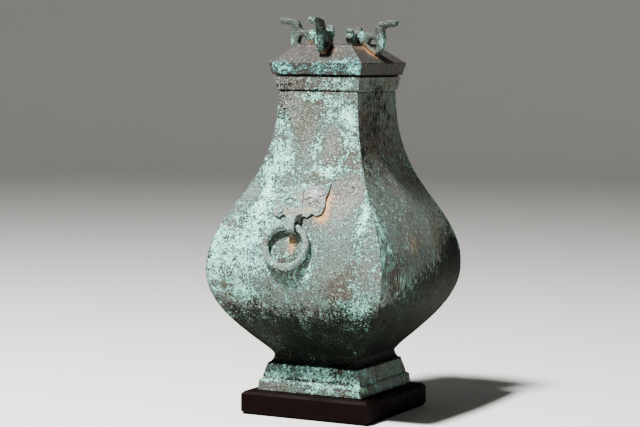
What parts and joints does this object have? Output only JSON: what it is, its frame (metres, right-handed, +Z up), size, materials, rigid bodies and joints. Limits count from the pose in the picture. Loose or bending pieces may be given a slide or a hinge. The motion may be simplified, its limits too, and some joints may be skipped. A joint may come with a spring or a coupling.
{
  "type": "lidded square bronze wine jar",
  "caption": "Square-section bronze wine jar with a swelling belly, stepped foot, hipped lid with beast-shaped studs, mask plates with loose rings, and a low wooden stand.",
  "frame": {"origin": "centre of the stand's underside", "axes": "+Z up along the jar's axis; the front mask faces -Y and the back mask +Y"},
  "size_m": [0.225, 0.2445, 0.4422],
  "materials": {
    "jar_bronze": "rough, mottled pale green and grey-brown corrosion on cast bronze",
    "lid_bronze": "rough grey-mauve corrosion with turquoise patches on cast bronze",
    "mask_bronze": "rough grey-green corrosion with tan soil at the edges",
    "ring_bronze": "rough grey corrosion, a little smoother than the jar",
    "finial_bronze": "rough grey-green corrosion with tan soil at the foot",
    "stand_wood": "dark reddish-brown lacquer, satin, slightly worn at the edges"
  },
  "bodies": {
    "jar": {"wooden_stand": "stand_wood", "vessel": "jar_bronze", "lid": "lid_bronze", "front_mask": "mask_bronze", "back_mask": "mask_bronze", "finial_right": "finial_bronze", "finial_back": "finial_bronze", "finial_left": "finial_bronze", "finial_front": "finial_bronze"},
    "front_ring": {"front_ring": "ring_bronze"},
    "back_ring": {"back_ring": "ring_bronze"}
  },
  "joints": [
    {"name": "front_ring_swing", "type": "hinge", "parent": "jar", "child": "front_ring", "pos_m": [0, -0.10658, 0.2158], "axis": [-1, 0, 0], "range_deg": [0, 190]},
    {"name": "back_ring_swing", "type": "hinge", "parent": "jar", "child": "back_ring", "pos_m": [0, 0.10658, 0.2158], "axis": [1, 0, 0], "range_deg": [0, 190]}
  ]
}
